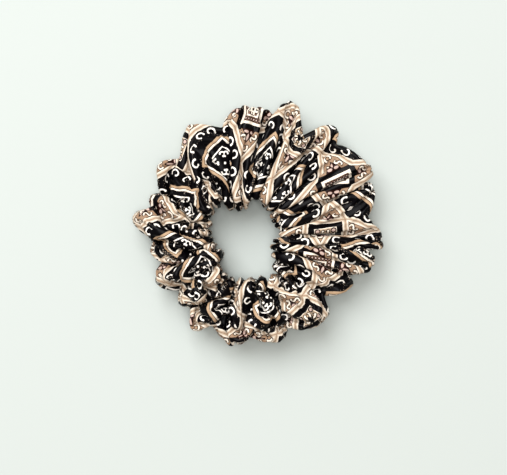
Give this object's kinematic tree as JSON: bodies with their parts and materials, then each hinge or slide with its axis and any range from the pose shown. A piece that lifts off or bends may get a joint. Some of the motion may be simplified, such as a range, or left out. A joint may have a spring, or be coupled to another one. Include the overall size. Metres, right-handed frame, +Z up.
{
  "type": "scrunchie",
  "caption": "Printed satin scrunchie: a gathered fabric tube on a lapped ring of flat woven elastic, lying flat, which stretches open to go round hair.",
  "frame": {"origin": "under the middle of the whole ring's outline, on the surface that the scrunchie lies on", "axes": "+Z up through the opening, the shortest way; +X across the ring, the longest way and the way it stretches; the widest gathers are at +X"},
  "size_m": [0.115, 0.1124, 0.0325],
  "materials": {
    "printed_satin": "soft satin with a geometric print in cream, tan, rust and navy black",
    "woven_elastic": "matt ribbed weave",
    "elastic_thread": "matt spun thread",
    "seam_thread": "matt spun thread"
  },
  "bodies": {
    "left_half": {"casing_left": "printed_satin", "elastic_left": "woven_elastic", "long_seam_stitches_left": "seam_thread", "closing_seam_stitches": "seam_thread"},
    "right_half": {"casing_right": "printed_satin", "elastic_right": "woven_elastic", "elastic_join_stitches": "elastic_thread", "long_seam_stitches_right": "seam_thread"}
  },
  "joints": [
    {"name": "stretch", "type": "slide", "parent": "left_half", "child": "right_half", "axis": [1, 0, 0], "range_m": [0, 0.07], "stiffness_N_per_m": 100}
  ]
}
